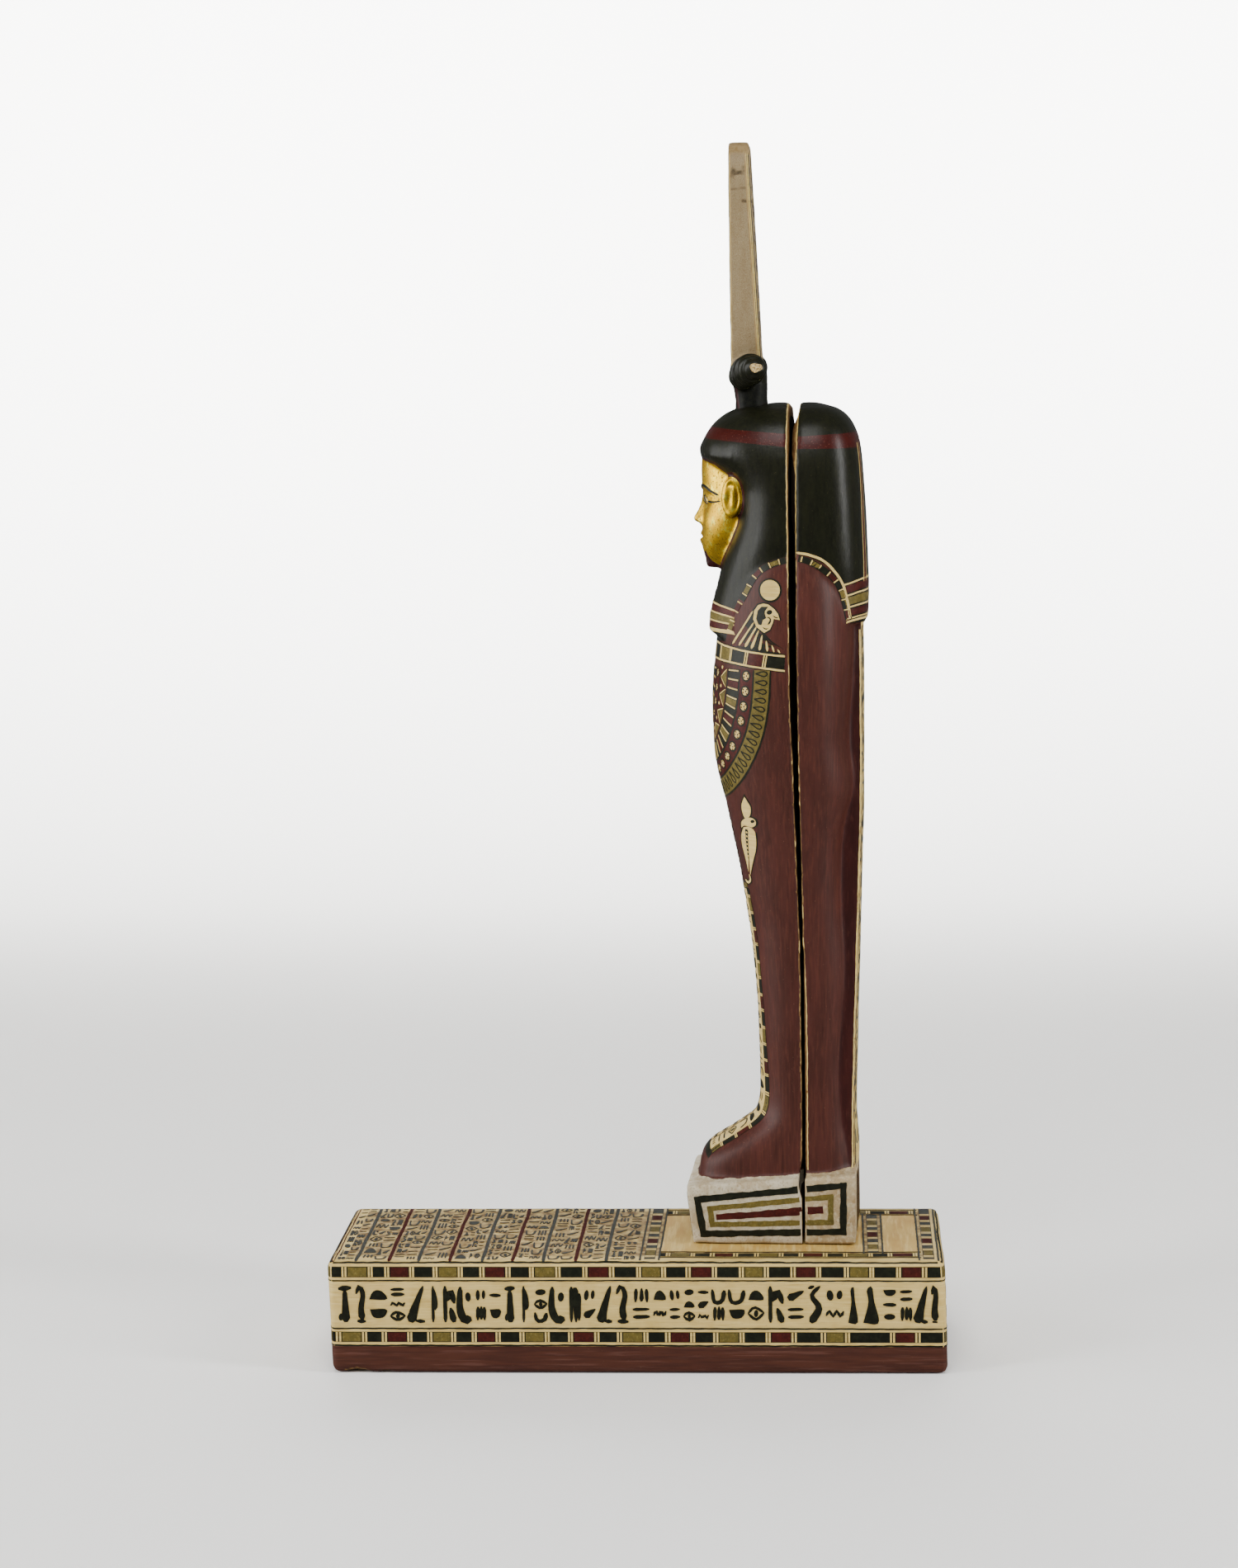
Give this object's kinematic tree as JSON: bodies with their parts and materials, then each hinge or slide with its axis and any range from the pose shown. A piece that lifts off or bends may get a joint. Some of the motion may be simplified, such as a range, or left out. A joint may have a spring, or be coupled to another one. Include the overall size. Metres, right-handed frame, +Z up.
{
  "type": "ptah-sokar-osiris figure",
  "caption": "Painted and gilded wooden mummiform figure in two hollow halves, with a plumed and horned crown, standing on a long painted plinth",
  "frame": {"origin": "centre of the plinth's underside, and of the whole part's box", "axes": "+Z up to the tips of the plumes, -Y the way the figure faces along the plinth, +X its left side"},
  "size_m": [0.116, 0.3214, 0.6313],
  "materials": {
    "cream_painted_gesso": "cream painted gesso over wood, lightly varnished",
    "red_painted_gesso": "dark brick-red paint on gesso, satin varnish with brush streaks",
    "ochre_painted_gesso": "ochre painted gesso, stained brown in places",
    "black_green_paint": "black-green paint on gesso, glossy varnish",
    "olive_paint": "olive-yellow paint, matt",
    "gold_leaf": "gold leaf on gesso, worn in specks",
    "bare_wood": "bare golden-brown wood at the joint"
  },
  "bodies": {
    "root": {"plinth": "cream_painted_gesso", "front_half": "red_painted_gesso", "back_half": "red_painted_gesso", "crown": "ochre_painted_gesso"}
  },
  "joints": []
}
